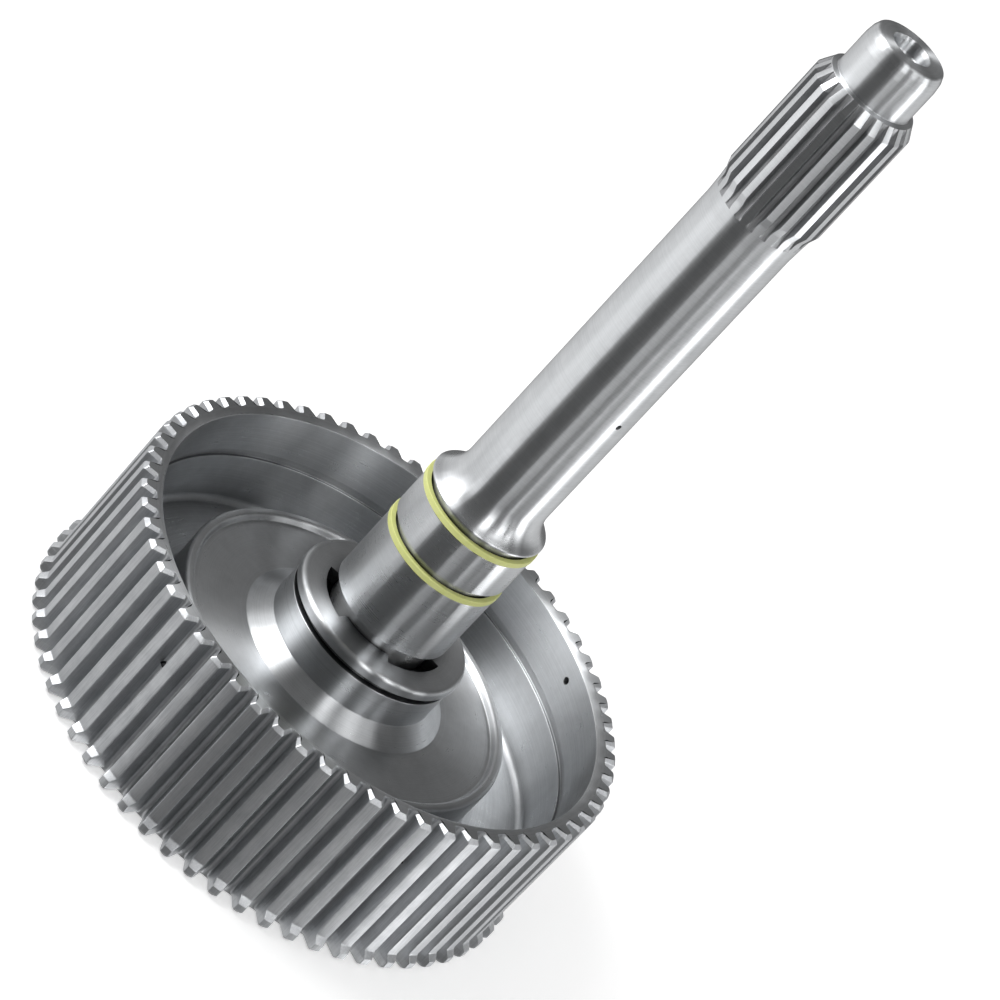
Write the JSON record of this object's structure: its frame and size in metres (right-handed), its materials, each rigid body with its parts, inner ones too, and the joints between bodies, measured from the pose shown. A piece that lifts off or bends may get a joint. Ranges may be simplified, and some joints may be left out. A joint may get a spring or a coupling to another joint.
{
  "type": "transmission input shaft",
  "caption": "Hollow splined transmission input shaft seated in a toothed clutch drum, with split seal rings on its journal and a front spline behind a plain nose.",
  "frame": {"origin": "centre of the drum's rear face, on the shaft's axis; the drum stands on this face", "axes": "+Z along the shaft's axis towards its nose; a drum tooth points to -Y, a tooth gap to +X"},
  "size_m": [0.1554, 0.1554, 0.2609],
  "materials": {
    "drum_steel": "turned and hobbed, lightly oiled",
    "shaft_steel": "fine turned and ground",
    "ring_polymer": "moulded, satin",
    "spring_steel": "oil blackened",
    "bush_bronze": "machined bronze"
  },
  "bodies": {
    "root": {"clutch_drum": "drum_steel", "input_shaft": "shaft_steel", "upper_seal_ring": "ring_polymer", "lower_seal_ring": "ring_polymer", "shaft_snap_ring": "spring_steel", "pilot_bush": "bush_bronze"}
  },
  "joints": []
}
